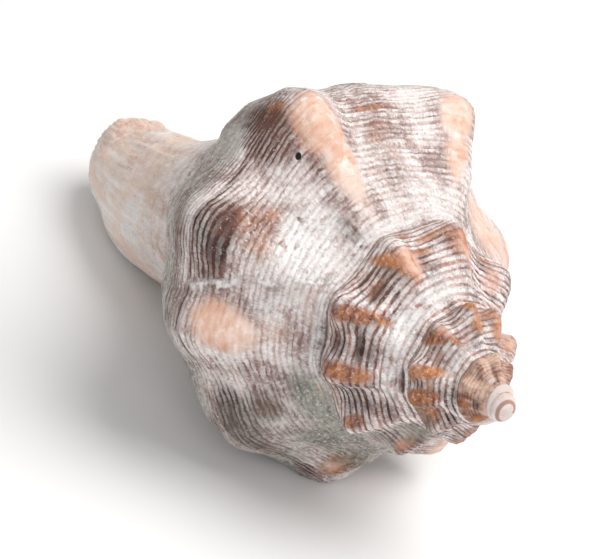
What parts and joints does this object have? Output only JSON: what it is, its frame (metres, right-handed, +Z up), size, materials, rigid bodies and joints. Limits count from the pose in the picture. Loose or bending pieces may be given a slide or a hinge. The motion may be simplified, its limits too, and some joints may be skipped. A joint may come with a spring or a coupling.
{
  "type": "whelk shell",
  "caption": "Right-handed knobbed sea snail shell with a stepped spire, a broad shouldered body whorl, an open aperture and a short siphonal canal, lying on its aperture.",
  "frame": {"origin": "centre of the bounding box, on the surface that the shell rests on", "axes": "+Z is up as the shell lies on its aperture, +X runs along the shell from the end of the canal to the tip of the spire"},
  "size_m": [0.086, 0.0558, 0.0421],
  "materials": {
    "shell": "matt weathered shell: chalky white cords, brown grooves, peach knobs, smooth peach aperture"
  },
  "bodies": {
    "root": {"shell": "shell"}
  },
  "joints": []
}
